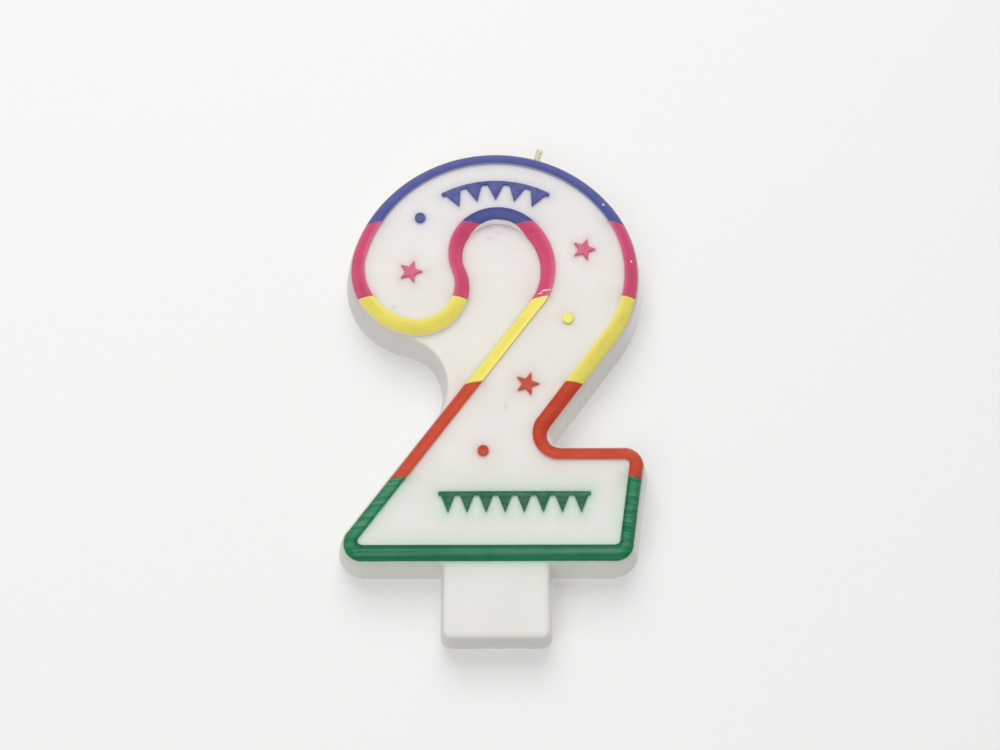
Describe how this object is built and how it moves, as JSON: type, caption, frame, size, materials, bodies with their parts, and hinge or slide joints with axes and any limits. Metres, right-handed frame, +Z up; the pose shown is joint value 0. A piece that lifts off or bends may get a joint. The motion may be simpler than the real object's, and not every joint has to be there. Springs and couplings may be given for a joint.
{
  "type": "number candle",
  "caption": "Flat moulded birthday candle shaped as the numeral two, with a coloured rounded rim, raised motifs on its panel, a short wick and a tongue that pushes into a cake.",
  "frame": {"origin": "middle of the foot's underside at mid-thickness, where the stem leaves the foot", "axes": "+Z up along the standing numeral, -Y the decorated front, +X to the reader's right"},
  "size_m": [0.0652, 0.0121, 0.1102],
  "materials": {
    "white_wax": "satin paraffin wax",
    "cotton_wick": "waxed braided cotton",
    "blue_wax": "satin dyed wax coat",
    "magenta_wax": "satin dyed wax coat",
    "yellow_wax": "satin dyed wax coat",
    "red_wax": "satin dyed wax coat",
    "green_wax": "satin dyed wax coat"
  },
  "bodies": {
    "root": {"wax_body": "white_wax", "wick": "cotton_wick", "blue_bow": "blue_wax", "blue_arch": "blue_wax", "magenta_hook": "magenta_wax", "magenta_arch_left": "magenta_wax", "magenta_arch_right": "magenta_wax", "magenta_shoulder": "magenta_wax", "yellow_hook": "yellow_wax", "yellow_leg_left": "yellow_wax", "yellow_leg_right": "yellow_wax", "red_leg_left": "red_wax", "red_notch": "red_wax", "green_foot": "green_wax", "magenta_star_hook": "magenta_wax", "magenta_star_shoulder": "magenta_wax", "red_star_leg": "red_wax", "blue_dot_bow": "blue_wax", "yellow_dot_shoulder": "yellow_wax", "red_dot_leg": "red_wax", "blue_bunting_bow": "blue_wax", "green_bunting_foot": "green_wax"}
  },
  "joints": []
}
